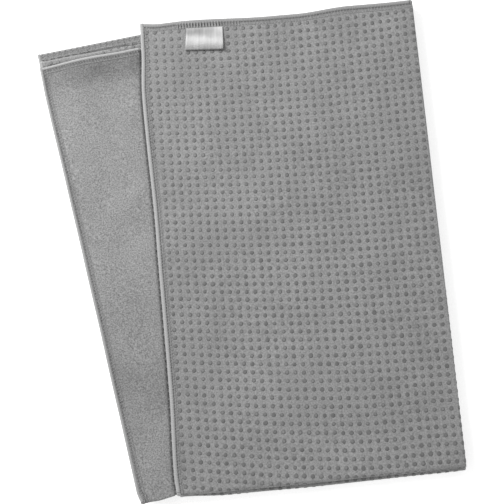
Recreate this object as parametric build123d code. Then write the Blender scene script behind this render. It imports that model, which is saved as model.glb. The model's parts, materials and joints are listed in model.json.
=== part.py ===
from build123d import *

import os
from math import atan2, degrees, hypot

# Quick dry towel with grip dots, folded in half lengthwise and then in four crosswise.
#
# The cloth is one long rectangle. Its two long edges meet at the left of the folded stack, where one
# side stops short of the other, so each of the four sections has a narrow leaf and a wide leaf that are
# joined by a side fold at the right. From the top down, the leaves are narrow and wide (section 1),
# wide and narrow (section 2), narrow and wide (section 3), wide and narrow (section 4).
#
# Frame: +X to the right, +Y towards the end hem with the label, +Z up. The origin is the bottom centre
# of the folded stack. Millimetres.

# Thicknesses and widths
PLY = 1.8  # one layer of cloth with its pile and dots
SECTION_GAP = 0.4  # air between two sections
FOLD_CLEARANCE = 0.3  # between a section's end and the fold line it turns about
HEM_WIDTH = 4.5  # overlocked edge
SIDE_FOLD_SETBACK = 1.0  # from each end of the side fold to the cross folds
SECTIONS = 4

SECTION_PITCH = 2 * PLY + SECTION_GAP
STACK_HEIGHT = SECTIONS * SECTION_PITCH - SECTION_GAP
INNER_RADIUS = SECTION_GAP / 2
MIDDLE_RADIUS = INNER_RADIUS + PLY
OUTER_RADIUS = MIDDLE_RADIUS + PLY

# Fold lines in plan, each from its left end to its right end
BOTTOM_FOLD = ((-110.0, -231.4), (189.7, -219.9))
TOP_FOLD = ((-190.0, 204.8), (185.5, 222.3))
SIDE_FOLD = ((184.9, 225.4), (189.7, -223.6))

# Free edges in plan
NARROW_EDGE = ((-84.6, 233.0), (-74.4, -235.9))
WIDE_EDGE = ((-191.5, 212.2), (-109.5, -239.9))
WIDE_LAST_EDGE = ((-196.0, 218.5), (-109.5, -239.9))
NARROW_FIRST_END = ((-84.6, 233.0), (185.0, 224.4))
WIDE_FIRST_END = ((-190.0, 198.9), (-84.0, 208.8), (185.0, 221.5))
NARROW_LAST_END = ((-82.5, 226.6), (185.0, 225.4))
WIDE_LAST_END = ((-196.0, 218.0), (-146.6, 222.0), (-86.3, 227.0), (185.0, 225.4))

# Label
LABEL_WIDTH = 37.0
LABEL_DROP = 23.5
LABEL_TAPE = 0.25
LABEL_CLEARANCE = 0.3  # between the label and the cloth under it
LABEL_SETBACK = 0.4  # from the line that the label turns about to its tape
LABEL_HINGE_CENTRE = (-18.5, 221.3)
LABEL_TURN = -4.0  # degrees in plan
STITCH_WIDTH = 1.4
STITCH_HEIGHT = 0.3

FAR = 600.0  # longer than the towel

nodes = {}


def line_angle(line):
    """The heading of a line in degrees."""
    (x0, y0), (x1, y1) = line[0], line[-1]
    return degrees(atan2(y1 - y0, x1 - x0))


def half_plane(line, side, inset=0.0):
    """A large rectangle on one side of a line: side is 1 for its left and -1 for its right."""
    x0, y0 = line[0]
    rectangle = Rectangle(2 * FAR, FAR, align=(Align.CENTER, Align.MIN))
    if side < 0:
        rectangle = rectangle.mirror(Plane.XZ)
    return Pos(x0, y0) * Rot(0, 0, line_angle(line)) * Pos(0, side * inset) * rectangle


def pairs(points):
    """Each stretch of a polyline."""
    return list(zip(points[:-1], points[1:]))


def cut(face, line, side, inset=0.0):
    """The part of a face that lies on one side of every stretch of a line."""
    for stretch in pairs(line):
        face = face & half_plane(stretch, side, inset)
    return face


def leaf_base(section):
    """The lowest point of a section. Section 4 lies on the floor."""
    return (SECTIONS - section) * SECTION_PITCH


def leaf_level(section, width):
    """The lowest point of a narrow or a wide leaf."""
    narrow_on_top = section in (1, 3)
    upper = narrow_on_top == (width == "narrow")
    return leaf_base(section) + (PLY if upper else 0.0)


def free_edge(section, width):
    """The long free edge of a leaf. The last section's wide leaf lies a little skewed under the others."""
    if width == "narrow":
        return NARROW_EDGE
    return WIDE_LAST_EDGE if section == SECTIONS else WIDE_EDGE


def section_face(section, width, hem=0.0):
    """A leaf's outline in plan, less a hem at its free edges."""
    face = Rectangle(FAR, 2 * FAR)
    face = cut(face, SIDE_FOLD, -1)
    face = cut(face, free_edge(section, width), 1, hem)
    face = cut(face, BOTTOM_FOLD, 1, 0.0 if section in (2, 4) else FOLD_CLEARANCE)
    end = end_line(section, width)
    if end:
        return cut(face, end, -1, hem)
    return cut(face, TOP_FOLD, -1, 0.0 if section == 3 else FOLD_CLEARANCE)


def end_line(section, width):
    """The free end of the first or the last section, or None between two folds."""
    ends = {
        (1, "narrow"): NARROW_FIRST_END,
        (1, "wide"): WIDE_FIRST_END,
        (4, "narrow"): NARROW_LAST_END,
        (4, "wide"): WIDE_LAST_END,
    }
    return ends.get((section, width))


def lift(face, level, height):
    """A flat face made into a solid that starts at a level."""
    return Pos(0, 0, level) * extrude(face, amount=height, dir=(0, 0, 1))


def add_leaf(section, width):
    """A leaf, its side hem and, at the cloth's ends, its end hem."""
    level = leaf_level(section, width)
    inner = section_face(section, width, HEM_WIDTH)
    outer = section_face(section, width)
    side_hem = cut(outer, free_edge(section, width), -1, -HEM_WIDTH)
    nodes[f"{width}_leaf_{section}"] = lift(inner, level, PLY)
    nodes[f"{width}_side_hem_{section}"] = lift(side_hem, level, PLY)
    if end_line(section, width):
        place = "first" if section == 1 else "last"
        nodes[f"{width}_end_hem_{place}"] = lift(outer - inner - side_hem, level, PLY)


def crossing(line, other):
    """Where two straight lines cross in plan."""
    (x1, y1), (x2, y2) = line[0], line[-1]
    (x3, y3), (x4, y4) = other[0], other[-1]
    turn = (x2 - x1) * (y4 - y3) - (y2 - y1) * (x4 - x3)
    share = ((x3 - x1) * (y4 - y3) - (y3 - y1) * (x4 - x3)) / turn
    return (x1 + share * (x2 - x1), y1 + share * (y2 - y1))


def half_round(start, end, level, inner, outer):
    """A half ring that lies to the left of a run from start to end, about an axis at a level."""
    (x0, y0), (x1, y1) = start, end
    along = Vector(x1 - x0, y1 - y0, 0)
    left = Vector(y0 - y1, x1 - x0, 0)
    ring = Circle(outer)
    if inner:
        ring = ring - Circle(inner)
    ring = ring & Rectangle(2 * outer, 2 * outer, align=(Align.MIN, Align.CENTER))
    plane = Plane(origin=(x0, y0, level), x_dir=left, z_dir=along)
    return extrude(plane * ring, amount=hypot(x1 - x0, y1 - y0))


def toward(point, other, distance):
    """A point moved a distance towards another."""
    share = distance / hypot(other[0] - point[0], other[1] - point[1])
    return tuple(a + share * (b - a) for a, b in zip(point, other))


def add_side_fold(section):
    """The turn of cloth at the right that joins a section's two leaves."""
    end = end_line(section, "wide")
    top = crossing(SIDE_FOLD, end[-2:] if end else TOP_FOLD)
    bottom = crossing(SIDE_FOLD, BOTTOM_FOLD)
    high = toward(top, bottom, SIDE_FOLD_SETBACK)
    low = toward(bottom, top, SIDE_FOLD_SETBACK)
    nodes[f"side_fold_{section}"] = half_round(high, low, leaf_base(section) + PLY, 0.0, PLY)


def add_cross_fold(name, line, upper_section):
    """The two turns of cloth, one inside the other, that join two sections."""
    level = leaf_base(upper_section) - SECTION_GAP / 2
    at_bottom = line is BOTTOM_FOLD
    right = crossing(line, SIDE_FOLD)
    for width in ("narrow", "wide"):
        free = crossing(line, free_edge(upper_section, width))
        inside = (width == "wide") == at_bottom
        radii = (INNER_RADIUS, MIDDLE_RADIUS) if inside else (MIDDLE_RADIUS, OUTER_RADIUS)
        start, end = (right, free) if at_bottom else (free, right)
        nodes[f"{width}_{name}"] = half_round(start, end, level, *radii)


def label_place():
    """The label's own frame: its origin is the middle of the sewn edge."""
    x, y = LABEL_HINGE_CENTRE
    return Pos(x, y, STACK_HEIGHT) * Rot(0, 0, LABEL_TURN)


def add_label():
    """A satin tape folded double, and the seam that holds it."""
    tape = Box(LABEL_WIDTH, LABEL_DROP, LABEL_TAPE, align=(Align.CENTER, Align.MAX, Align.MIN))
    seam = Box(LABEL_WIDTH, STITCH_WIDTH, STITCH_HEIGHT, align=(Align.CENTER, Align.MIN, Align.MIN))
    place = label_place()
    nodes["label_back"] = place * Pos(0, -LABEL_SETBACK, LABEL_CLEARANCE) * tape
    nodes["label_front"] = place * Pos(0, -LABEL_SETBACK, LABEL_CLEARANCE + LABEL_TAPE) * tape
    nodes["label_stitching"] = place * Pos(0, FOLD_CLEARANCE, 0) * seam


def report_joint(name, line, level):
    """Prints where a hinge lies."""
    (x0, y0), (x1, y1) = line
    run = hypot(x1 - x0, y1 - y0)
    along = ((x1 - x0) / run, (y1 - y0) / run)
    print(f"{name}: middle ({(x0 + x1) / 2:.3f}, {(y0 + y1) / 2:.3f}, {level:.3f}) along {along}")


for section in range(1, SECTIONS + 1):
    add_leaf(section, "narrow")
    add_leaf(section, "wide")
    add_side_fold(section)
add_cross_fold("upper_bottom_fold", BOTTOM_FOLD, 1)
add_cross_fold("top_fold", TOP_FOLD, 2)
add_cross_fold("lower_bottom_fold", BOTTOM_FOLD, 3)
add_label()

os.makedirs("parts", exist_ok=True)
for name, solid in nodes.items():
    export_step(solid, f"parts/{name}.step")

box = Compound(children=list(nodes.values())).bounding_box()
print("nodes", len(nodes), "box", box.min, box.max)
report_joint("lower_bottom_fold", BOTTOM_FOLD, leaf_base(3) - SECTION_GAP / 2)
report_joint("top_fold", TOP_FOLD, leaf_base(2) - SECTION_GAP / 2)
report_joint("upper_bottom_fold", BOTTOM_FOLD, leaf_base(1) - SECTION_GAP / 2)
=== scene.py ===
"""Folded quick dry towel with silicone grip dots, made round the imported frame. Metres, +Z up.

The cloth is one long rectangle, folded lengthwise with its dots outside and then crosswise in four.
Every section has a narrow and a wide leaf that are joined by a side fold at the right. All pieces of a
section follow the same mapping from plan to space, so cloth, hems, stitches and dots stay together.
"""
import json
import math

import bpy
import numpy as np
from mathutils import Matrix, Vector


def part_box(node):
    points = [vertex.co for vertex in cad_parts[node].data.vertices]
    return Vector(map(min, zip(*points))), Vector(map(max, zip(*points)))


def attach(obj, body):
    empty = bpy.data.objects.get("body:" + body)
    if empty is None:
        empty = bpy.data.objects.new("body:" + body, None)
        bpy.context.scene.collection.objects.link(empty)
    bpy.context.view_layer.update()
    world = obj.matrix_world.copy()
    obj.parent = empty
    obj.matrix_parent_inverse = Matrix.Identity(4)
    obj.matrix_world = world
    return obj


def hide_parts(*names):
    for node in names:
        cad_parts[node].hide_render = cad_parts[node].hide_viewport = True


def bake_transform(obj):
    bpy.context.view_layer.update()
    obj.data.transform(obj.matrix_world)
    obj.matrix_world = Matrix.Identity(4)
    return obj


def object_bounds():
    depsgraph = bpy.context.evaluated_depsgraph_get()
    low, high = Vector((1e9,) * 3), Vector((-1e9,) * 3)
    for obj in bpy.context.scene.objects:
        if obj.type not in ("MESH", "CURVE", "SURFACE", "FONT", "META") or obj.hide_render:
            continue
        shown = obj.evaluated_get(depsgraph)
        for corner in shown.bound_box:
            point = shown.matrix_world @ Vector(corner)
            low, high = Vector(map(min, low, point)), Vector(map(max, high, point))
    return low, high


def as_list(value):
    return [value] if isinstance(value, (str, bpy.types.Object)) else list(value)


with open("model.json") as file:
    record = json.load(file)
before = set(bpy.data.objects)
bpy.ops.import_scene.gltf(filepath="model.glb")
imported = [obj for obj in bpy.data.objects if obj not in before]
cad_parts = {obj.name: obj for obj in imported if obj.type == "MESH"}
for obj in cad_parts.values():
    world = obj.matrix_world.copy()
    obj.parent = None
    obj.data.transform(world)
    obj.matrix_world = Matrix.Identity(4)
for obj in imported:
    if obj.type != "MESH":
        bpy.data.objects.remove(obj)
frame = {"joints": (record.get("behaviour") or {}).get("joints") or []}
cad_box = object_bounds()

MM = 0.001
rng = np.random.default_rng(7)

# Camera and picture
CAMERA_PLACE = (0.1061, -0.1411, 0.8605)
CAMERA_TARGET = (0.0126, -0.0092, 0.0153)
CAMERA_HEADING = 4.16  # degrees from +Y towards +X that point up in the picture
LENS = 64.3

# Cloth
CLOTH = 1.0 * MM  # thickness of a layer without its dots
DOT_RADIUS = 2.1 * MM
DOT_HEIGHT = 0.32 * MM
COLUMN_PITCH = 7.9 * MM
ROW_PITCH = 7.582 * MM
FIRST_DOT = (75.14 * MM, -20.61 * MM)  # one dot of the narrow leaf's lattice
COLUMN_HEADING = -3.21  # degrees in plan
ROW_HEADING = -89.81
HEM_HALF_WIDTH = {"narrow": 1.9 * MM, "wide": 1.5 * MM}
HEM_HALF_HEIGHT = 1.05 * MM
DOT_TO_EDGE = 6.1 * MM
END_TO_DOT = 6.2 * MM
STITCH_PITCH = 3.0 * MM
LAST_END_PITCH = 6.2 * MM  # between the dark notches of the last section's end hem
SEAM_PITCH = 2.95 * MM  # between the stitches that hold the label
THREAD = 0.2 * MM


def plan(*points):
    """Points in plan, given in millimetres."""
    return np.array(points, float) * MM


# The same outline as the CAD model, in plan, with the side fold 0.9 mm prouder
SIDE_FOLD = plan((185.8, 225.4), (190.6, -223.6))
NARROW_EDGE = plan((-84.6, 233.0), (-74.4, -235.9))
WIDE_EDGE = plan((-191.5, 212.2), (-109.5, -239.9))
WIDE_LAST_EDGE = plan((-196.0, 218.5), (-109.5, -239.9))
END = {
    (1, "narrow"): plan((-84.6, 233.0), (185.0, 224.4)),
    (1, "wide"): plan((-190.0, 198.9), (-84.0, 208.8), (185.0, 221.5)),
    (4, "narrow"): plan((-82.5, 226.6), (185.0, 225.4)),
    (4, "wide"): plan((-196.0, 218.0), (-146.6, 222.0), (-86.3, 227.0), (185.0, 225.4)),
}


def mixed(a, b, share):
    return a + (b - a) * share


def smooth(t):
    t = np.clip(t, 0.0, 1.0)
    return t * t * (3 - 2 * t)


def curve(x, *points):
    """A smooth curve through a few (x, value) points, given in millimetres."""
    xs, values = np.array(points, float).T * MM
    x = np.asarray(x, float)
    i = np.clip(np.searchsorted(xs, x) - 1, 0, len(xs) - 2)
    share = smooth((x - xs[i]) / (xs[i + 1] - xs[i]))
    return mixed(values[i], values[i + 1], share)


def free_edge(number, width):
    """The straight line under a leaf's free edge."""
    if width == "narrow":
        return NARROW_EDGE
    return WIDE_LAST_EDGE if number == 4 else WIDE_EDGE


def near(distance, middle, spread):
    """1 at a distance from something, falling to 0 on both sides of it. In millimetres."""
    return np.exp(-(((distance / MM - middle) / spread) ** 2))


def crossing(a, b, c, d):
    """Where the line through a and b crosses the line through c and d."""
    turn = np.array([b - a, c - d]).T
    return a + (b - a) * np.linalg.solve(turn, c - a)[0]


# ---------------------------------------------------------------- the frame's folds and sections


class Fold:
    """A crosswise fold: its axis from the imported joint, and the direction out of the stack."""

    def __init__(self, joint, lower, upper, at_bottom):
        found = next(j for j in frame["joints"] if j["name"] == joint)
        along = np.array(found["axis"][:2]) * (1 if at_bottom else -1)
        self.point = np.array(found["pos_m"][:2])
        self.level = found["pos_m"][2]
        self.along = along / np.linalg.norm(along)
        self.out = np.array([self.along[1], -self.along[0]]) * (1 if at_bottom else -1)
        self.lower, self.upper, self.at_bottom = lower, upper, at_bottom
        self.name = joint.replace("_opens", "")

    def line(self):
        return self.point, self.point + self.along

    def beyond(self, p):
        """How far points in plan lie outside the fold line."""
        return (p - self.point) @ self.out

    def wobble(self, x, width):
        """How far the fold line strays outwards, by a leaf's x in plan."""
        if not self.at_bottom:
            return curve(x, (-190, -0.4), (-147, 0.8), (-105, 1.4), (0, 0.6), (190, 0.0))
        if self.lower == 4:
            left = (-111, -1.4), (-86, -2.4), (-72, 0.2), (-30, 2.4)
            return curve(x, *left, (60, 3.0), (160, 2.2), (190, 2.0))
        if width == "wide":
            return curve(x, (-111, 4.0), (-98, 2.6), (-76, -0.4), (-40, 1.0), (190, 1.0))
        return curve(x, (-75, -2.0), (-30, -1.2), (60, -0.9), (160, -1.7), (190, -1.9))


lower_bottom = Fold("lower_bottom_fold_opens", 4, 3, True)
top = Fold("top_fold_opens", 3, 2, False)
upper_bottom = Fold("upper_bottom_fold_opens", 2, 1, True)
FOLDS = (lower_bottom, top, upper_bottom)


def waves(x, y, section):
    """The gentle rise and fall of the cloth, less in the lower sections and none at the folds."""
    height = 0.45 * np.sin(31 * x + 12 * y + 0.6) + 0.35 * np.sin(17 * x - 34 * y + 2.1)
    height += 0.25 * np.sin(58 * x + 23 * y + 4.0) + 0.2 * np.sin(-22 * x + 67 * y)
    free = smooth((NARROW_EDGE[0, 0] - 0.004 - x) / 0.05)
    sweep = np.sin(38 * x + 27 * y + 1.3) + 0.5 * np.sin(-60 * x + 35 * y + 0.4)
    height += 0.55 * free * sweep
    height -= 1.1 * free * smooth((0.192 - y) / 0.04)
    near_bottom = smooth(-upper_bottom.beyond(np.stack([x, y], -1)) / 0.035)
    near_top = smooth(-top.beyond(np.stack([x, y], -1)) / 0.03)
    if section == 1:
        near_top = mixed(near_top, 1.0, smooth((y - 0.1) / 0.1))
    depth = {1: 1.0, 2: 0.75, 3: 0.5, 4: 0.2}[section]
    return height * MM * depth * near_bottom * near_top


class Section:
    """One crosswise quarter of the folded towel."""

    def __init__(self, number):
        self.number = number
        self.body = f"section_{number}"
        self.z = {}
        for width in ("narrow", "wide"):
            low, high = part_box(f"{width}_leaf_{number}")
            self.z[width] = (low.z + high.z) / 2
        self.middle = (self.z["narrow"] + self.z["wide"]) / 2
        self.turn = abs(self.z["narrow"] - self.z["wide"]) / 2
        self.bottom = lower_bottom if number > 2 else upper_bottom
        self.top = top if number in (2, 3) else None
        self.side_out = np.array([-(SIDE_FOLD[1] - SIDE_FOLD[0])[1], (SIDE_FOLD[1] - SIDE_FOLD[0])[0]])
        self.side_out /= np.linalg.norm(self.side_out)

    def facing(self, width):
        """1 where the leaf's outer face, with its dots, looks up, and -1 where it looks down."""
        return 1 if self.z[width] > self.middle else -1

    def corners(self, width):
        """Bottom left, bottom right, top left and top right of a leaf."""
        edge = free_edge(self.number, width)
        low = self.bottom.line()
        if self.top:
            high_left = high_right = self.top.line()
        else:
            end = END[self.number, width]
            high_left, high_right = end[:2], end[-2:]
        return (
            crossing(*low, *edge),
            crossing(*low, *SIDE_FOLD),
            crossing(*high_left, *edge),
            crossing(*high_right, *SIDE_FOLD),
        )

    def stray(self, width, y):
        """How far a leaf's free edge strays to the left."""
        under = 0.0 if self.number == 1 else -0.9 * MM
        if width == "narrow":
            low = (-236, -0.6), (-215, 0.6), (-140, -0.8), (10, 0.0)
            side = curve(y, *low, (156, 2.9), (205, 0.2), (233, -0.4))
        else:
            low = (-236, -2.7), (-222, 0.0), (-120, 0.9), (-60, 0.5)
            side = curve(y, *low, (70, 1.5), (168, 2.9), (213, 1.3))
        return side + under

    def edge_x(self, width, y):
        """Where the free edge is, at a y in plan."""
        bl, _, tl, _ = self.corners(width)
        share = (y - bl[1]) / (tl[1] - bl[1])
        return mixed(bl[0], tl[0], np.clip(share, 0, 1)) - self.stray(width, y)

    def end_y(self, width, x):
        """Where the free end is, at an x in plan."""
        end = END[self.number, width]
        return np.interp(x, end[:, 0], end[:, 1]) + self.end_rise(width, x)

    def end_rise(self, width, x):
        """How far a free end strays upwards in plan."""
        if (self.number, width) == (1, "narrow"):
            left = (-85, 0.2), (-66, -1.5), (-40, -0.9), (50, -3.7)
            return curve(x, *left, (75, -3.9), (125, -0.4), (160, -0.4), (190, 0.2))
        if (self.number, width) == (1, "wide"):
            return curve(x, (-190, 0.2), (-148, 1.6), (-100, 0.0), (190, 0.0))
        return np.zeros_like(np.asarray(x, float))

    def across(self, width):
        """The places of the cloth's columns, closer together where it has fine shapes."""
        if self.number == 4 and width == "wide":
            return np.concatenate([np.linspace(0, 0.3, 105)[:-1], np.linspace(0.3, 1, 50)])
        if self.number != 1:
            return np.linspace(0, 1, 56 if width == "narrow" else 76)
        if width == "narrow":
            return np.concatenate([np.linspace(0, 0.035, 14)[:-1], np.linspace(0.035, 1, 62)])
        return np.concatenate([np.linspace(0, 0.31, 135)[:-1], np.linspace(0.31, 1, 60)])

    def upwards(self):
        """The same for the cloth's rows."""
        low = np.concatenate([[0], np.linspace(0.0004, 0.965, 110 if self.number in (1, 4) else 90)[:-1]])
        return np.concatenate([low, np.linspace(0.965, 0.9996, 24), [1]])

    def spot(self, width, u, v):
        """A leaf's point in plan, for u across from the free edge and v up from the bottom fold."""
        bl, br, tl, tr = self.corners(width)
        u, v = np.broadcast_arrays(np.asarray(u, float), np.asarray(v, float))
        left = mixed(bl, tl, v[..., None])
        right = mixed(br, tr, v[..., None])
        left[..., 0] -= self.stray(width, left[..., 1])
        p = mixed(left, right, u[..., None])
        high = mixed(tl, tr, u[..., None])
        if self.top:
            out = self.top.wobble(high[..., 0], width)
            p = p + (out * v ** 6)[..., None] * self.top.out
        else:
            p[..., 1] += (self.end_y(width, high[..., 0]) - high[..., 1]) * v ** 4
        low = mixed(bl, br, u[..., None])
        out = self.bottom.wobble(low[..., 0], width)
        return p + (out * (1 - v) ** 6)[..., None] * self.bottom.out

    def raised(self, width, p, height):
        """Points in plan, carried to a height over a leaf's middle surface along its outer side."""
        z = self.z[width] + self.facing(width) * height + waves(p[..., 0], p[..., 1], self.number)
        z = z + self.relief(width, p)
        return np.concatenate([p, np.broadcast_to(z, p.shape[:-1])[..., None]], -1)

    def relief(self, width, p):
        """Small shapes in the upper section: sunken seams, and the wide leaf's dip at the narrow one."""
        x, y = p[..., 0], p[..., 1]
        if self.number != 1:
            return np.zeros_like(x)
        edge = x - self.edge_x(width, y)
        end = self.end_y(width, x) - y
        z = -0.25 * near(edge, 4.0, 0.8) - 0.2 * near(edge, 6.4, 0.8)
        z -= 0.25 * near(end, 4.2, 0.9) + 0.2 * near(end, 6.8, 0.9)
        if width == "wide":
            left = sections[1].edge_x("narrow", y) - x
            z += -1.5 * near(left, 0.6, 1.5) - 0.35 * smooth(-left / (4 * MM)) + 0.2 * smooth(left / (8 * MM))
            z += 0.9 * near(end, 0.0, 9.0) * smooth((left + 2 * MM) / (4 * MM))
        return z * MM

    def shade(self, width, p):
        """How bright the cloth's pile is, with painted shade: darker in its stitched grooves, beside layers
        that lie on it, in gaps between layers, and in bands on the upper wide leaf.
        """
        x, y = p[..., 0], p[..., 1]
        if self.number == 3:
            return np.ones_like(x)
        if self.number == 2:
            # Painted shadow in a line just above the upper wide leaf's end, left of the narrow leaf, darkest
            # at the far left.
            gap = near(y - sections[1].end_y("wide", x), 1.2, 1.0) * smooth(-(x + 0.07) / 0.01)
            return 1 - (0.35 + 0.45 * smooth(-(x + 0.166) / 0.008)) * gap
        edge = x - self.edge_x(width, y)
        end = self.end_y(width, x) - y
        if self.number == 4:
            # Painted shade along a line 4 mm inside the end, darker in ticks at the end hem's notch pitch,
            # and a painted shadow where the top fold's turn meets this section.
            ticks = np.clip(np.sin(2 * math.pi * x / LAST_END_PITCH), 0, 1)
            gap = top.beyond(p) - top.wobble(x, width)
            return 1 - 0.35 * near(end, 4.0, 1.0) * (0.3 + ticks) - 0.5 * near(gap, 6.4, 1.2)
        # Painted shade in the stitched grooves beside the free edge and the free end.
        dark = 0.5 * near(edge, 4.1, 0.7) + 0.45 * near(edge, 6.6, 0.7)
        dark = np.maximum(dark, 0.42 * near(end, 4.3, 0.8) + 0.3 * near(end, 7.2, 0.8))
        if width == "narrow":
            # Painted shade under the label's stitching, weaker to its right.
            seam = smooth((x + 0.05) / 0.006) * smooth((0.02 - x) / 0.006)
            seam *= mixed(0.35, 1.0, smooth((0.003 - x) / 0.006))
            dark = np.maximum(dark, 0.6 * seam * near(end, 5.6, 2.6))
        if width == "wide":
            # Painted shadow on this leaf beside the edge of the narrow leaf that lies on it.
            left = sections[1].edge_x("narrow", y) - x
            dark = np.maximum(dark, 0.62 * near(left, 0.4, 1.5))
            # Painted shade in a band under the end hem, where the cloth slopes away from the light, weaker at
            # the far left; and darker bands near y = -128 mm and y = -235 mm.
            side = 0.55 + 0.45 * smooth((x + 0.175) / 0.05)
            dark_bands = 0.46 * near(end, 15.0, 16.0) * side * (0.85 + 0.15 * np.sin(90 * x + 1.5))
            dark_bands += 0.18 * near(y + 0.128, 0.0, 34.0) + 0.07 * near(y + 0.235, 0.0, 30.0)
            dark = 1 - (1 - dark) * (1 - dark_bands)
        return 1 - dark

    def round_side(self, width, p, height):
        """As raised, but points past the side fold's line go round it."""
        past = (p - SIDE_FOLD[0]) @ self.side_out
        radius = self.turn + CLOTH / 2
        angle = np.clip(past / radius, 0, math.pi)
        base = p - np.maximum(past, 0)[..., None] * self.side_out
        reach = self.turn + height
        flat = base + (reach * np.sin(angle))[..., None] * self.side_out
        z = self.middle + self.facing(width) * reach * np.cos(angle)
        z = z + waves(base[..., 0], base[..., 1], self.number)
        return np.concatenate([flat, z[..., None]], -1)


sections = {number: Section(number) for number in (1, 2, 3, 4)}

# ---------------------------------------------------------------- mesh building


def new_object(name, vertices, faces, material, smooth_faces=None):
    """A mesh object from points and faces. Faces after a given number are shaded flat."""
    mesh = bpy.data.meshes.new(name)
    mesh.from_pydata(np.asarray(vertices).reshape(-1, 3).tolist(), [], faces)
    mesh.validate()
    mesh.materials.append(material)
    count = len(mesh.polygons)
    mesh.polygons.foreach_set("use_smooth", (np.arange(count) < (smooth_faces or count)).tolist())
    mesh.update()
    made = bpy.data.objects.new(name, mesh)
    bpy.context.scene.collection.objects.link(made)
    return made


def grid_faces(rows, columns, start=0, flip=False):
    """Quads of a grid of points, row by row."""
    i = np.arange(rows * columns).reshape(rows, columns) + start
    quads = np.stack([i[:-1, :-1], i[:-1, 1:], i[1:, 1:], i[1:, :-1]], -1).reshape(-1, 4)
    return (quads[:, ::-1] if flip else quads).tolist()


def shell(outer, inner):
    """A closed sheet between two grids of points, and how many of its faces aren't on its rim."""
    rows, columns = outer.shape[:2]
    count = rows * columns
    faces = grid_faces(rows, columns) + grid_faces(rows, columns, count, True)
    smooth_faces = len(faces)
    i = np.arange(count).reshape(rows, columns)
    rim = np.concatenate([i[0, :], i[1:, -1], i[-1, -2::-1], i[-2:0:-1, 0]])
    after = np.roll(rim, -1)
    faces += np.stack([after, rim, rim + count, after + count], -1).tolist()
    return np.concatenate([outer.reshape(-1, 3), inner.reshape(-1, 3)]), faces, smooth_faces


def tube(path, side, up, half_width, half_height, sides=12, ribs=None):
    """A closed oval tube along a path, with its width along side and its height along up."""
    angle = np.linspace(0, 2 * math.pi, sides, endpoint=False)
    swell = np.ones(len(path)) if ribs is None else ribs
    width = half_width * swell
    height = half_height * swell
    points = (
        path[:, None]
        + side[:, None] * (np.cos(angle)[None, :, None] * width[:, None, None])
        + up[:, None] * (np.sin(angle)[None, :, None] * height[:, None, None])
    )
    count = len(path)
    i = np.arange(count * sides).reshape(count, sides)
    j = np.roll(i, -1, 1)
    faces = np.stack([i[:-1], j[:-1], j[1:], i[1:]], -1).reshape(-1, 4).tolist()
    faces.append(i[0][::-1].tolist())
    faces.append(i[-1].tolist())
    return points.reshape(-1, 3), faces


def threads(paths, up, radius, sides=5):
    """Many short closed threads, each along its own path of points."""
    number, length = paths.shape[:2]
    radius = np.broadcast_to(radius, number)[:, None, None, None]
    along = np.gradient(paths, axis=1)
    along /= np.linalg.norm(along, axis=2, keepdims=True)
    across = np.cross(along, np.broadcast_to(up, paths.shape))
    across /= np.linalg.norm(across, axis=2, keepdims=True)
    over = np.cross(across, along)
    angle = np.linspace(0, 2 * math.pi, sides, endpoint=False)
    points = (
        paths[:, :, None]
        + across[:, :, None] * radius * np.cos(angle)[:, None]
        + over[:, :, None] * radius * np.sin(angle)[:, None]
    )
    i = np.arange(length * sides).reshape(length, sides)
    j = np.roll(i, -1, 1)
    one = np.stack([i[:-1], j[:-1], j[1:], i[1:]], -1).reshape(-1, 4)
    starts = np.arange(number) * length * sides
    faces = (one[None] + starts[:, None, None]).reshape(-1, 4).tolist()
    faces += (i[0][::-1][None] + starts[:, None]).tolist()
    faces += (i[-1][None] + starts[:, None]).tolist()
    return points.reshape(-1, 3), faces


def joined(parts):
    """Several (points, faces) as one."""
    points, faces, start = [], [], 0
    for some, these in parts:
        some = np.asarray(some).reshape(-1, 3)
        points.append(some)
        faces += [[index + start for index in face] for face in these]
        start += len(some)
    return np.concatenate(points), faces


# ---------------------------------------------------------------- materials


def material(name):
    """An empty node material, its shader and its tree."""
    made = bpy.data.materials.new(name)
    made.use_nodes = True
    tree = made.node_tree
    return made, tree.nodes["Principled BSDF"], tree


def node(tree, kind, **inputs):
    made = tree.nodes.new(kind)
    for key, value in inputs.items():
        made.inputs[key.replace("_", " ")].default_value = value
    return made


def noise(tree, scale, detail=3.0, rough=0.55):
    """Noise on the piece's own coordinates, so that it goes with the cloth."""
    place = tree.nodes.new("ShaderNodeTexCoord")
    made = node(tree, "ShaderNodeTexNoise", Scale=scale, Detail=detail, Roughness=rough)
    tree.links.new(place.outputs["Object"], made.inputs["Vector"])
    return made.outputs["Fac"]


def ramp(tree, value, *stops):
    made = tree.nodes.new("ShaderNodeValToRGB")
    tree.links.new(value, made.inputs["Fac"])
    elements = made.color_ramp.elements
    while len(elements) < len(stops):
        elements.new(0.5)
    for element, (place, level) in zip(elements, stops):
        element.position = place
        element.color = (level, level, level, 1)
    return made.outputs["Color"]


def times(tree, a, b):
    """Two colours multiplied."""
    made = tree.nodes.new("ShaderNodeMix")
    made.data_type = "RGBA"
    made.blend_type = "MULTIPLY"
    made.inputs["Factor"].default_value = 1.0
    tree.links.new(a, made.inputs["A"])
    tree.links.new(b, made.inputs["B"])
    return made.outputs["Result"]


def bump(tree, shader, *layers):
    """Bumps one over another, each (value, strength, distance)."""
    before = None
    for value, strength, distance in layers:
        made = node(tree, "ShaderNodeBump", Strength=strength, Distance=distance)
        tree.links.new(value, made.inputs["Height"])
        if before:
            tree.links.new(before, made.inputs["Normal"])
        before = made.outputs["Normal"]
    tree.links.new(before, shader.inputs["Normal"])


def stored(tree, name):
    """The number that a mesh holds for each of its points under a name."""
    made = tree.nodes.new("ShaderNodeAttribute")
    made.attribute_name = name
    return made.outputs["Fac"]


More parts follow.
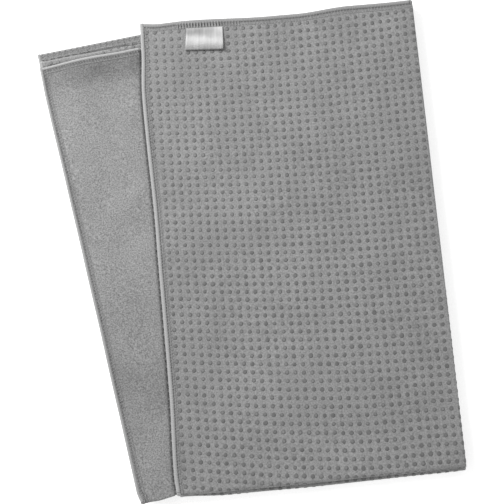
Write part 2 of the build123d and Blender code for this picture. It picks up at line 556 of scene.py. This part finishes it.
def fabric(name, level, contrast, pile_scale, sheen):
    """Suede-like microfibre: a speckled pile with soft blotches, darker where its mesh holds painted shade.
    """
    made, shader, tree = material(name)
    pile = noise(tree, pile_scale, 4.0, 0.65)
    blotch = noise(tree, 26.0, 5.0)
    fine = noise(tree, 1900.0, 2.0)
    speckle = ramp(tree, pile, (0.3, level * (1 - contrast)), (0.7, level * (1 + contrast)))
    patches = ramp(tree, blotch, (0.32, 0.9), (0.68, 1.05))
    # Painted shade: the mesh's shade numbers darken the pile in grooves, beside layer edges and in gaps
    # between layers.
    painted_shade = ramp(tree, stored(tree, "shade"), (0.0, 0.0), (1.0, 1.0))
    tree.links.new(times(tree, times(tree, speckle, patches), painted_shade), shader.inputs["Base Color"])
    shader.inputs["Roughness"].default_value = 0.95
    shader.inputs["Specular IOR Level"].default_value = 0.15
    shader.inputs["Sheen Weight"].default_value = sheen
    shader.inputs["Sheen Roughness"].default_value = 0.6
    bump(tree, shader, (pile, 0.5, 0.0006), (fine, 0.35, 0.0002))
    return made


def thread_material(name, level, scale, shaded=False):
    """Twisted polyester thread. A shaded one is darker in places that its mesh holds."""
    made, shader, tree = material(name)
    twist = noise(tree, scale, 3.0)
    colour = ramp(tree, twist, (0.3, level * 0.86), (0.7, level * 1.08))
    if shaded:
        colour = times(tree, colour, ramp(tree, stored(tree, "shade"), (0.0, 0.0), (1.0, 1.0)))
    tree.links.new(colour, shader.inputs["Base Color"])
    shader.inputs["Roughness"].default_value = 0.7
    shader.inputs["Specular IOR Level"].default_value = 0.3
    shader.inputs["Sheen Weight"].default_value = 0.2
    bump(tree, shader, (twist, 0.5, 0.0003))
    return made


def silicone_material():
    """Dull moulded silicone with dust in its pores."""
    made, shader, tree = material("grip_silicone")
    tone = noise(tree, 260.0, 3.0)
    pores = noise(tree, 1500.0, 3.0)
    worn = ramp(tree, tone, (0.3, 0.78), (0.7, 1.15))
    # Painted highlight: a dot's centre is paler than its rim, by the rim numbers its mesh holds.
    ring = ramp(tree, stored(tree, "rim"), (0.0, 0.265), (0.4, 0.21), (0.75, 0.165), (1.0, 0.15))
    tree.links.new(times(tree, ring, worn), shader.inputs["Base Color"])
    tree.links.new(ramp(tree, pores, (0.3, 0.46), (0.7, 0.6)), shader.inputs["Roughness"])
    shader.inputs["Specular IOR Level"].default_value = 0.5
    bump(tree, shader, (pores, 0.2, 0.00015))
    return made


def satin_material():
    """Woven satin tape: fine ribs across, with a painted sheen that makes it brighter in a band along its
    middle.
    """
    made, shader, tree = material("label_satin")
    place = tree.nodes.new("ShaderNodeTexCoord")
    # Painted sheen and shade that the mesh holds under its shade numbers.
    band = ramp(tree, stored(tree, "shade"), (0.0, 0.0), (1.0, 1.0))
    weave = node(tree, "ShaderNodeTexWave", Scale=38.0, Distortion=0.6, Detail=1.0)
    weave.bands_direction = "X"
    tree.links.new(place.outputs["UV"], weave.inputs["Vector"])
    patchy = noise(tree, 190.0, 2.0)
    tone = ramp(tree, patchy, (0.3, 0.9), (0.7, 1.05))
    tree.links.new(times(tree, band, tone), shader.inputs["Base Color"])
    shader.inputs["Roughness"].default_value = 0.38
    shader.inputs["Sheen Weight"].default_value = 0.25
    shader.inputs["Anisotropic"].default_value = 0.4
    bump(tree, shader, (weave.outputs["Fac"], 0.25, 0.0001), (patchy, 0.2, 0.0003))
    return made


dotted_cloth = fabric("dotted_cloth", 0.295, 0.36, 700.0, 0.12)
smooth_cloth = fabric("smooth_cloth", 0.298, 0.55, 760.0, 0.12)
hem_thread = thread_material("hem_thread", 0.44, 900.0, True)
side_thread = thread_material("side_thread", 0.40, 900.0, True)
end_thread = thread_material("end_thread", 0.33, 900.0, True)
stitch_thread = thread_material("stitch_thread", 0.40, 1200.0)
label_thread = thread_material("label_thread", 0.40, 1200.0)
silicone = silicone_material()
satin = satin_material()

# ---------------------------------------------------------------- cloth

ROUND_COLUMNS = 10
FOLD_STEPS = 24


def profile(section, v):
    """One row of a section's cloth, outer and inner, from the narrow leaf round to the wide leaf."""
    half = CLOTH / 2
    outer, inner, shades = [], [], []
    for width in ("narrow", "wide"):
        p = section.spot(width, section.across(width), v)
        shades.append(section.shade(width, p))
        for grid, height in ((outer, half), (inner, -half)):
            grid.append(section.raised(width, p, height))
    angle = np.linspace(0, math.pi, ROUND_COLUMNS + 2)[1:-1]
    share = angle / math.pi
    at = mixed(outer[0][-1, :2], outer[1][-1, :2], share[:, None])
    lift = waves(at[:, 0], at[:, 1], section.number)
    turns = []
    for height in (half, -half):
        reach = section.turn + height
        flat = at + (reach * np.sin(angle))[:, None] * section.side_out
        z = section.middle + section.facing("narrow") * reach * np.cos(angle) + lift
        turns.append(np.column_stack([flat, z]))
    rows = []
    for grid, turn in zip((outer, inner), turns):
        rows.append(np.concatenate([grid[0], turn, grid[1][::-1]]))
    return rows[0], rows[1], np.concatenate([shades[0], np.ones(len(angle)), shades[1][::-1]])


def paint_faces(made, shade):
    """The outer face, with its dots, is one material and the inner face the other."""
    made.data.materials.append(smooth_cloth)
    rows, columns = shade.shape
    index = np.zeros(len(made.data.polygons), int)
    quads = (rows - 1) * (columns - 1)
    index[quads : 2 * quads] = 1
    made.data.polygons.foreach_set("material_index", index.tolist())
    set_points(made, "shade", np.concatenate([shade.ravel(), shade.ravel()]))


def set_points(made, name, values):
    """A number for each of a mesh's points, which its material reads by name."""
    layer = made.data.attributes.new(name, "FLOAT", "POINT")
    layer.data.foreach_set("value", np.ascontiguousarray(values, np.float32))


def section_cloth(section):
    """Both leaves and the side fold of a section, as one closed sheet."""
    grids = [np.array(rows) for rows in zip(*[profile(section, v) for v in section.upwards()])]
    if section.facing("narrow") < 0:
        grids = [grid[:, ::-1] for grid in grids]
    outer, inner, shade = grids
    points, faces, smooth_faces = shell(outer, inner)
    made = new_object(f"section_cloth_{section.number}", points, faces, dotted_cloth, smooth_faces)
    paint_faces(made, shade)
    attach(made, section.body)
    n = section.number
    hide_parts(f"narrow_leaf_{n}", f"wide_leaf_{n}", f"side_fold_{n}")
    return made


def turned(points, fold, angle):
    """Points of a section's end, carried round a fold by an angle and kept on the wavy fold line."""
    strays = (points[..., :2] - fold.point) @ fold.out
    base = points[..., :2] - strays[..., None] * fold.out
    reach = points[..., 2] - fold.level
    out = strays + np.abs(reach) * math.sin(angle)
    z = fold.level + reach * math.cos(angle)
    return np.concatenate([base + out[..., None] * fold.out, z[..., None]], -1)


def fold_cloth(fold):
    """The two turns of cloth in a crosswise fold: a narrow one with the side fold, and a wide one."""
    section = sections[fold.upper]
    outer, inner, shade = profile(section, 0.0 if fold.at_bottom else 1.0)
    split = len(section.across("narrow")) + ROUND_COLUMNS
    made = []
    for width, part in (("narrow", slice(0, split + 1)), ("wide", slice(split, None))):
        share = np.linspace(0, 1, FOLD_STEPS - 1)
        angles = math.pi * (share - 0.75 * np.sin(2 * math.pi * share) / (2 * math.pi))
        angles = np.concatenate([[0], mixed(0.03, math.pi - 0.03, angles / math.pi), [math.pi]])
        grids = [np.array([turned(row[part], fold, a) for a in angles]) for row in (outer, inner)]
        if (section.facing("narrow") > 0) == fold.at_bottom:
            grids = [grid[::-1] for grid in grids]
        points, faces, smooth_faces = shell(*grids)
        piece = new_object(f"{width}_cloth_{fold.name}", points, faces, dotted_cloth, smooth_faces)
        paint_faces(piece, np.tile(shade[part], (FOLD_STEPS + 1, 1)))
        bend(piece, fold, width)
        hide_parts(f"{width}_{fold.name}")
        made.append(piece)
    return made


def bend(piece, fold, width):
    """Bakes the piece's place into its mesh."""
    x, y = fold.point
    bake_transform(piece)


# ---------------------------------------------------------------- hems


def unit(v):
    return v / np.linalg.norm(v, axis=-1, keepdims=True)


def rib(path, depth=0.07, pitch=1.7 * MM):
    """The swell of thread wound round an edge."""
    run = np.concatenate([[0], np.cumsum(np.linalg.norm(np.diff(path, axis=0), axis=1))])
    return 1 + depth * np.cos(2 * math.pi * run / pitch) + 0.03 * np.sin(run / (7 * MM))


def edge_path(section, width, count):
    """The middle of the rolled hem along a leaf's free edge, and the way out of the leaf."""
    v = np.linspace(0, 1, count)
    p = section.spot(width, np.zeros(count), v)
    along = unit(np.gradient(p, axis=0))
    out = np.column_stack([-along[:, 1], along[:, 0]])
    return p - out * HEM_HALF_WIDTH[width], out, along


def end_path(section, width, count):
    """The same along a free end, from the free edge to the side fold."""
    u = np.linspace(0, 1, count)
    p = section.spot(width, u, np.ones(count))
    along = unit(np.gradient(p, axis=0))
    out = np.column_stack([-along[:, 1], along[:, 0]])
    return p - out * HEM_HALF_WIDTH[width], out, along


def flat3(v):
    return np.column_stack([v, np.zeros(len(v))])


def thread_of(section, width, at_end):
    """The end hems with dots on them are sewn in the cloth's own grey, and the others are lighter."""
    if at_end and section.facing(width) > 0:
        return end_thread
    return hem_thread if width == "narrow" or at_end else side_thread


def hem(section, width, place, fine):
    """A rolled, thread-bound hem, with its row of running stitches and its short cross stitches."""
    at_end = place == "end"
    length = (0.27 if width == "narrow" else 0.37) if at_end else 0.455
    count = int(length / ((0.42 if fine else 0.85) * MM))
    path, out, along = (end_path if at_end else edge_path)(section, width, count)
    if at_end:
        path = path + along * (HEM_HALF_WIDTH[width] * (1 - 2 * np.linspace(0, 1, count)))[:, None]
    middle = section.raised(width, path, 0.0)
    if section.number == 1:
        middle[:, 2] += 0.3 * MM
    up = np.tile([0.0, 0.0, 1.0], (count, 1))
    ribs = rib(path) if fine else 1 + 0.03 * np.sin(np.arange(count) * 0.8)
    shade = np.ones(count)
    # The last section's end hem has notches pulled in by its wraps, with painted shade in them.
    if at_end and section.number == 4:
        notch = np.clip(np.sin(2 * math.pi * path[:, 0] / LAST_END_PITCH), 0, 1) ** 2
        ribs = 1 - 0.3 * notch
        shade = 1 - 0.5 * notch
    sides = 12 if fine else 8
    points, faces = tube(middle, flat3(out), up, HEM_HALF_WIDTH[width], HEM_HALF_HEIGHT, sides, ribs)
    name = f"{width}_{place}_hem_{section.number}"
    made = new_object(name, points, faces, thread_of(section, width, at_end))
    set_points(made, "shade", np.repeat(shade, sides))
    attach(made, section.body)
    order = "first" if section.number == 1 else "last"
    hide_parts(f"{width}_end_hem_{order}" if at_end else name)
    stitches = hem_stitches(section, width, path, out, name)
    return [made, stitches]


def hem_stitches(section, width, path, out, name):
    """Overlock stitches beside a hem on both faces: a running line and short threads across to it."""
    run = np.concatenate([[0], np.cumsum(np.linalg.norm(np.diff(path, axis=0), axis=1))])
    marks = np.arange(2 * MM, run[-1] - 2 * MM, STITCH_PITCH)
    at = np.column_stack([np.interp(marks, run, path[:, i]) for i in (0, 1)])
    way = unit(np.column_stack([np.interp(marks, run, out[:, i]) for i in (0, 1)]))
    ahead = np.column_stack([way[:, 1], -way[:, 0]])
    parts = []
    for side in (1, -1):
        cover = CLOTH / 2 + THREAD * 0.35
        rows = []
        for inward, skew, lift in ((1.6, 0.0, 0.5), (2.6, 0.35, 0.12), (4.2, 0.75, 0.08), (5.2, 1.0, -0.1)):
            p = at - way * inward * MM + ahead * skew * MM
            rows.append(section.raised(width, p, side * (cover + lift * MM)))
        parts.append(threads(np.stack(rows, 1), np.array([0, 0, 1.0]), THREAD))
        rows = []
        for share, lift in ((0.06, -0.1), (0.25, 0.12), (0.75, 0.12), (0.94, -0.1)):
            p = at - way * 5.3 * MM + ahead * share * STITCH_PITCH
            rows.append(section.raised(width, p, side * (cover + lift * MM)))
        parts.append(threads(np.stack(rows, 1), np.array([0, 0, 1.0]), THREAD * 1.5))
    made = new_object(f"{name}_stitches", *joined(parts), stitch_thread)
    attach(made, section.body)
    return made


def fold_hem(fold, width):
    """The rolled hem where it goes round a crosswise fold."""
    section = sections[fold.upper]
    v = 0.0 if fold.at_bottom else 1.0
    start = section.raised(width, section.spot(width, np.zeros(1), np.full(1, v)), 0.0)
    angles = np.linspace(0, math.pi, 28)
    inward = fold.along * HEM_HALF_WIDTH[width]
    start[:, :2] += inward
    path = np.array([turned(start, fold, a)[0] for a in angles])
    side = np.tile([*(-fold.along), 0.0], (len(angles), 1))
    reach = start[0, 2] - fold.level
    up = np.array([[*(fold.out * math.sin(a)), math.cos(a) * math.copysign(1, reach)] for a in angles])
    points, faces = tube(path, side, unit(up), HEM_HALF_WIDTH[width], HEM_HALF_HEIGHT, 12, rib(path))
    made = new_object(f"{width}_hem_{fold.name}", points, faces, thread_of(section, width, False))
    set_points(made, "shade", np.ones(len(points)))
    bend(made, fold, width)
    return made


# ---------------------------------------------------------------- grip dots

FINE_DOT = ((1.0, -0.5), (0.95, 0.5), (0.74, 0.96), (0.42, 1.0))
PLAIN_DOT = ((1.0, -0.5), (0.9, 0.7), (0.55, 1.0))


def bowed(p):
    """The rows and columns of dots, pulled a little out of line by the way the cloth lies."""
    x = np.clip((p[..., 0] - 0.05) / 0.12, -1.3, 1.3)
    y = np.clip(p[..., 1] / 0.2, -1.2, 1.2)
    right = 0.6 + 0.2 * x - 1.8 * x * x + 1.2 * x * y + 0.6 * y * y
    up = -1.0 - 0.3 * x - 1.6 * y + 3.7 * x * x + 1.8 * x * y - 1.2 * y * y + 0.9 * x * y * y + 2.3 * y ** 3
    low = smooth((-0.1 - p[..., 1]) / 0.1)
    left = (-75, 1.1), (-20, 0.4), (30, -0.9), (100, -1.8)
    pulled = curve(p[..., 0], *left, (130, -0.8), (155, 0.6), (190, 0.8))
    return p + np.stack([right * MM, up * MM + low * pulled], -1)


def printed():
    """Dot centres of the whole cloth, laid open in the plane of the first narrow leaf."""
    i, j = np.meshgrid(np.arange(-30, 76), np.arange(-45, 221))
    column, row = (
        np.array([math.cos(math.radians(a)), math.sin(math.radians(a))])
        for a in (COLUMN_HEADING, ROW_HEADING)
    )
    p = np.array(FIRST_DOT) + i[..., None] * column * COLUMN_PITCH + j[..., None] * row * ROW_PITCH
    return bowed(p.reshape(-1, 2))


def folded_over(p, point, out, turn, stray=0.0):
    """Points on one side of a fold as they lie on its other side, for a turn of a given radius."""
    beyond = ((p - point) @ out - stray)[:, None]
    return p - 2 * beyond * out + math.pi * turn * out


def print_dots():
    """The dot centres of every leaf, from one even print that is folded with the cloth."""
    first = printed()
    placed = {(1, "narrow"): first}
    placed[1, "wide"] = folded_over(first, SIDE_FOLD[0], sections[1].side_out, sections[1].turn)
    for fold in (upper_bottom, top, lower_bottom):
        for width in ("narrow", "wide"):
            turn = abs(sections[fold.upper].z[width] - fold.level)
            before = placed[fold.upper, width]
            stray = fold.wobble(before[:, 0], width)
            placed[fold.lower, width] = folded_over(before, fold.point, fold.out, turn, stray)
    return placed


def inside(section, width, p):
    """Which dot centres lie on a leaf, clear of its hems and short of its folds."""
    keep = p[:, 0] - section.edge_x(width, p[:, 1]) > DOT_TO_EDGE
    past = (p - SIDE_FOLD[0]) @ section.side_out
    keep &= past < section.turn * math.pi / 2
    keep &= section.bottom.beyond(p) < section.bottom.wobble(p[:, 0], width)
    if section.top:
        return keep & (section.top.beyond(p) < section.top.wobble(p[:, 0], width))
    return keep & (section.end_y(width, p[:, 0]) - p[:, 1] > END_TO_DOT)


def dots_on(centres, template, sides, place, flip):
    """Flat domes at centres in plan, with each of their points carried by place(points, height)."""
    count = len(centres)
    size = DOT_RADIUS * rng.normal(1.0, 0.045, count).clip(0.88, 1.12)
    tall = DOT_HEIGHT * rng.normal(1.0, 0.08, count).clip(0.8, 1.2)
    turn = rng.uniform(0, math.pi, count)
    squash = rng.normal(0.0, 0.04, (count, 2))
    centres = centres + rng.normal(0, 0.12 * MM, centres.shape)
    angle = np.linspace(0, 2 * math.pi, sides, endpoint=False)
    spin = angle[None] + turn[:, None]
    ring = np.stack([np.cos(spin) * (1 + squash[:, :1]), np.sin(spin) * (1 + squash[:, 1:])], -1)
    layers = []
    for share, height in template:
        p = centres[:, None] + ring * (size * share)[:, None, None]
        layers.append(place(p, CLOTH / 2 + np.broadcast_to((tall * height)[:, None], p.shape[:2])))
    crown = place(centres[:, None], CLOTH / 2 + (tall * 0.94)[:, None])
    points = np.concatenate([*layers, crown], 1)
    rings = len(template)
    i = np.arange(rings * sides).reshape(rings, sides)
    j = np.roll(i, -1, 1)
    quads = np.stack([i[:-1], j[:-1], j[1:], i[1:]], -1).reshape(-1, 4)
    tips = np.stack([i[-1], j[-1], np.full(sides, rings * sides)], -1)
    starts = np.arange(count) * (rings * sides + 1)
    faces = (quads[None] + starts[:, None, None]).reshape(-1, 4).tolist()
    faces += (tips[None] + starts[:, None, None]).reshape(-1, 3).tolist()
    faces += (i[0][::-1][None] + starts[:, None]).tolist()
    if flip:
        faces = [face[::-1] for face in faces]
    across = np.array([share for share, _ in template for _ in range(sides)] + [0.0])
    # Painted highlight: a paler centre, stronger on some dots than on others.
    crown_highlight = rng.uniform(0.0, 1.0, count)
    rim = 1 - (1 - across)[None] * crown_highlight[:, None]
    return points.reshape(-1, 3), faces, rim.ravel()


def section_dots(section, width):
    """The dots on one leaf's outer face."""
    p = dot_places[section.number, width]
    p = p[inside(section, width, p)]
    fine = section.number == 1 and width == "narrow"
    template, sides = (FINE_DOT, 12) if fine else (PLAIN_DOT, 8)
    flip = section.facing(width) < 0
    points, faces, rim = dots_on(p, template, sides, lambda q, h: section.round_side(width, q, h), flip)
    made = new_object(f"{width}_grip_dots_{section.number}", points, faces, silicone)
    set_points(made, "rim", rim)
    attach(made, section.body)
    return made


def fold_dots(fold):
    """The rows of dots on the outer turn of a crosswise fold."""
    width = "narrow" if fold.at_bottom else "wide"
    section = sections[fold.upper]
    radius = abs(section.z[width] - fold.level)
    p = dot_places[fold.upper, width]
    beyond = fold.beyond(p) - fold.wobble(p[:, 0], width)
    left = crossing(*fold.line(), *free_edge(fold.upper, width))[0]
    right = crossing(*fold.line(), *SIDE_FOLD)[0]
    keep = (beyond >= 0) & (beyond < math.pi * radius) & (p[:, 0] > left + DOT_TO_EDGE)
    keep &= p[:, 0] < right
    p = p[keep]

    def place(q, h):
        past = fold.beyond(q) - fold.wobble(q[..., 0], width)
        angle = past / radius
        base = q - past[..., None] * fold.out
        flat = base + ((radius + h) * np.sin(angle))[..., None] * fold.out
        return np.concatenate([flat, (fold.level + (radius + h) * np.cos(angle))[..., None]], -1)

    points, faces, rim = dots_on(p, FINE_DOT, 12, place, False)
    made = new_object(f"grip_dots_{fold.name}", points, faces, silicone)
    set_points(made, "rim", rim)
    bend(made, fold, width)
    return made


# ---------------------------------------------------------------- label


def label():
    """A satin tape folded double. It bulges a little, and its lower edge stands off the cloth."""
    joint = next(j for j in frame["joints"] if j["name"] == "label_lifts")
    hinge = np.array(joint["pos_m"])
    across = -np.array(joint["axis"])
    down = np.array([across[1], -across[0], 0.0])
    width, drop, tape, gap = 36.6 * MM, 22.6 * MM, 0.22 * MM, 0.12 * MM
    columns, steps = 64, 26
    s = np.linspace(0, 1, steps)
    turn = np.linspace(0, math.pi, 8)[1:-1]
    along = np.concatenate([s, np.full(len(turn), 1.0), s[::-1]])
    bow = np.concatenate([np.ones(steps), np.cos(turn), -np.ones(steps)])
    tip = np.concatenate([np.zeros(steps), np.sin(turn), np.zeros(steps)])
    x = np.linspace(-0.5, 0.5, columns)
    a, c = np.meshgrid(along, x, indexing="ij")
    bows, tips = bow[:, None], tip[:, None]
    swell = 0.9 * MM * np.sin(math.pi * np.clip(a, 0, 1)) * (0.75 + 0.25 * np.cos(3 * c))
    lift = 1.1 * MM * a ** 2 + 1.0 * MM * (a * (c + 0.5)) ** 3 + 0.12 * MM * np.sin(9 * c + 2) * a
    crease = 0.12 * MM * np.sin(26 * c) * a * (1 - a)
    height = 0.05 * MM + swell + lift + crease
    grids = []
    for offset in (tape / 2, -tape / 2):
        reach = gap / 2 + tape / 2 + offset + 0.75 * MM * a ** 3
        z = height + bows * reach
        run = 0.4 * MM + a * (drop * (1 + 0.04 * (c + 0.5))) + tips * reach
        span = width * (c * (1 + 0.03 * a) + 0.02 * a * (c > 0))
        flat = hinge + span[..., None] * across + run[..., None] * down
        grids.append(flat + z[..., None] * np.array([0, 0, 1.0]))
    points, faces, smooth_faces = shell(grids[0], grids[1])
    made = new_object("label_tape", points, faces, satin, smooth_faces)
    layer = made.data.uv_layers.new(name="tape")
    uv = np.stack(np.meshgrid(np.linspace(0, 1, columns), along, indexing="xy"), -1).reshape(-1, 2)
    uv = np.concatenate([uv, uv])
    loops = np.zeros(len(made.data.loops), int)
    made.data.loops.foreach_get("vertex_index", loops)
    layer.data.foreach_set("uv", uv[loops].ravel())
    u = c + 0.5
    # Painted sheen and shade: a bright band across the middle and a bright top-right corner, darker towards
    # the bottom and at the top left, with faint streaks.
    sheen_and_shade = 0.45 + 0.17 * np.exp(-(((a - 0.52 - 0.1 * u) / 0.17) ** 2)) - 0.2 * smooth((a - 0.7) / 0.3)
    sheen_and_shade -= 0.19 * np.exp(-(((u - 0.25) / 0.4) ** 2) - ((a - 0.2) / 0.18) ** 2)
    sheen_and_shade += 0.2 * np.exp(-(((u - 0.92) / 0.14) ** 2) - ((a - 0.05) / 0.22) ** 2)
    sheen_and_shade += (0.03 * np.sin(31 * u + 2) + 0.03 * np.sin(73 * u)) * np.sin(2.4 * a + 9 * u)
    set_points(made, "shade", np.concatenate([sheen_and_shade.ravel(), sheen_and_shade.ravel()]))
    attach(made, "label")
    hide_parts("label_front", "label_back")
    return made


def label_stitching():
    """The dense bar of stitches that holds the label, and the thinner ones that run on to its right."""
    section = sections[1]
    joint = next(j for j in frame["joints"] if j["name"] == "label_lifts")
    hinge = np.array(joint["pos_m"])
    x = np.arange(hinge[0] - 27.5 * MM, hinge[0] + 36 * MM, SEAM_PITCH)
    worn = smooth((x - hinge[0] - 14 * MM) / (5 * MM))
    end = END[1, "narrow"]
    rows = []
    for below, skew, lift in ((2.6, 0.0, 0.5), (4.2, 0.1, 0.55), (7.4, 0.3, 0.4), (8.8, 0.4, 0.05)):
        y = np.interp(x, end[:, 0], end[:, 1]) + section.end_rise("narrow", x) - below * MM
        p = np.column_stack([x + skew * MM, y])
        rows.append(section.raised("narrow", p, CLOTH / 2 + lift * MM))
    points, faces = threads(np.stack(rows, 1), np.array([0, 0, 1.0]), mixed(0.5, 0.22, worn) * MM, 6)
    made = new_object("label_seam", points, faces, label_thread)
    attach(made, "section_1")
    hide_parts("label_stitching")
    return made


# ---------------------------------------------------------------- making it all

dot_places = print_dots()
extras = {number: [] for number in sections}
cloths = {}
for number, section in sections.items():
    cloths[number] = section_cloth(section)
    for width in ("narrow", "wide"):
        extras[number] += hem(section, width, "side", number == 1)
        if not section.top:
            extras[number] += hem(section, width, "end", number == 1 or width == "wide")
        extras[number].append(section_dots(section, width))
for fold in FOLDS:
    extras[fold.lower] += fold_cloth(fold)
    extras[fold.lower] += [fold_hem(fold, width) for width in ("narrow", "wide")]
    extras[fold.lower].append(fold_dots(fold))
extras[1].append(label_stitching())
label()

for number, cloth in cloths.items():
    corners = [sections[number].corners(width) for width in ("narrow", "wide")]
    area = math.pi * sections[number].turn * (SIDE_FOLD[0, 1] - SIDE_FOLD[1, 1])
    for bl, br, tl, tr in corners:
        ring = np.array([bl, br, tr, tl])
        after = np.roll(ring, -1, 0)
        area += abs((ring[:, 0] * after[:, 1] - ring[:, 1] * after[:, 0]).sum()) / 2
    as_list(extras[number])


def floor():
    bpy.ops.mesh.primitive_plane_add(size=12, location=(0, 0, cad_box[0].z - 0.1 * MM))
    made = bpy.context.object
    made.name = "floor"
    paper, shader, _ = material("pale_floor")
    shader.inputs["Base Color"].default_value = (0.93, 0.93, 0.93, 1)
    shader.inputs["Roughness"].default_value = 0.9
    shader.inputs["Specular IOR Level"].default_value = 0.0
    shader.inputs["Emission Color"].default_value = (1, 1, 1, 1)
    shader.inputs["Emission Strength"].default_value = 0.52
    made.data.materials.append(paper)


def lamp(name, place, target, size, power):
    data = bpy.data.lights.new(name, "AREA")
    data.size = size
    data.energy = power
    made = bpy.data.objects.new(name, data)
    bpy.context.scene.collection.objects.link(made)
    made.location = place
    made.rotation_euler = (Vector(target) - Vector(place)).to_track_quat("-Z", "Y").to_euler()


def studio():
    scene = bpy.context.scene
    world = bpy.data.worlds.new("studio")
    world.use_nodes = True
    world.node_tree.nodes["Background"].inputs["Color"].default_value = (1, 1, 1, 1)
    world.node_tree.nodes["Background"].inputs["Strength"].default_value = 0.55
    scene.world = world
    lamp("key_light", (-1.0, 0.95, 1.1), (0, 0.05, 0), 0.8, 27.0)
    scene.view_settings.view_transform = "Standard"


def camera():
    data = bpy.data.cameras.new("camera")
    data.lens = LENS
    data.sensor_width = 36
    made = bpy.data.objects.new("camera", data)
    bpy.context.scene.collection.objects.link(made)
    place = Vector(CAMERA_PLACE)
    back = (place - Vector(CAMERA_TARGET)).normalized()
    heading = math.radians(CAMERA_HEADING)
    hint = Vector((math.sin(heading), math.cos(heading), 0))
    right = hint.cross(back).normalized()
    up = back.cross(right)
    made.matrix_world = Matrix.Translation(place) @ Matrix((right, up, back)).transposed().to_4x4()
    bpy.context.scene.camera = made


floor()
studio()
camera()
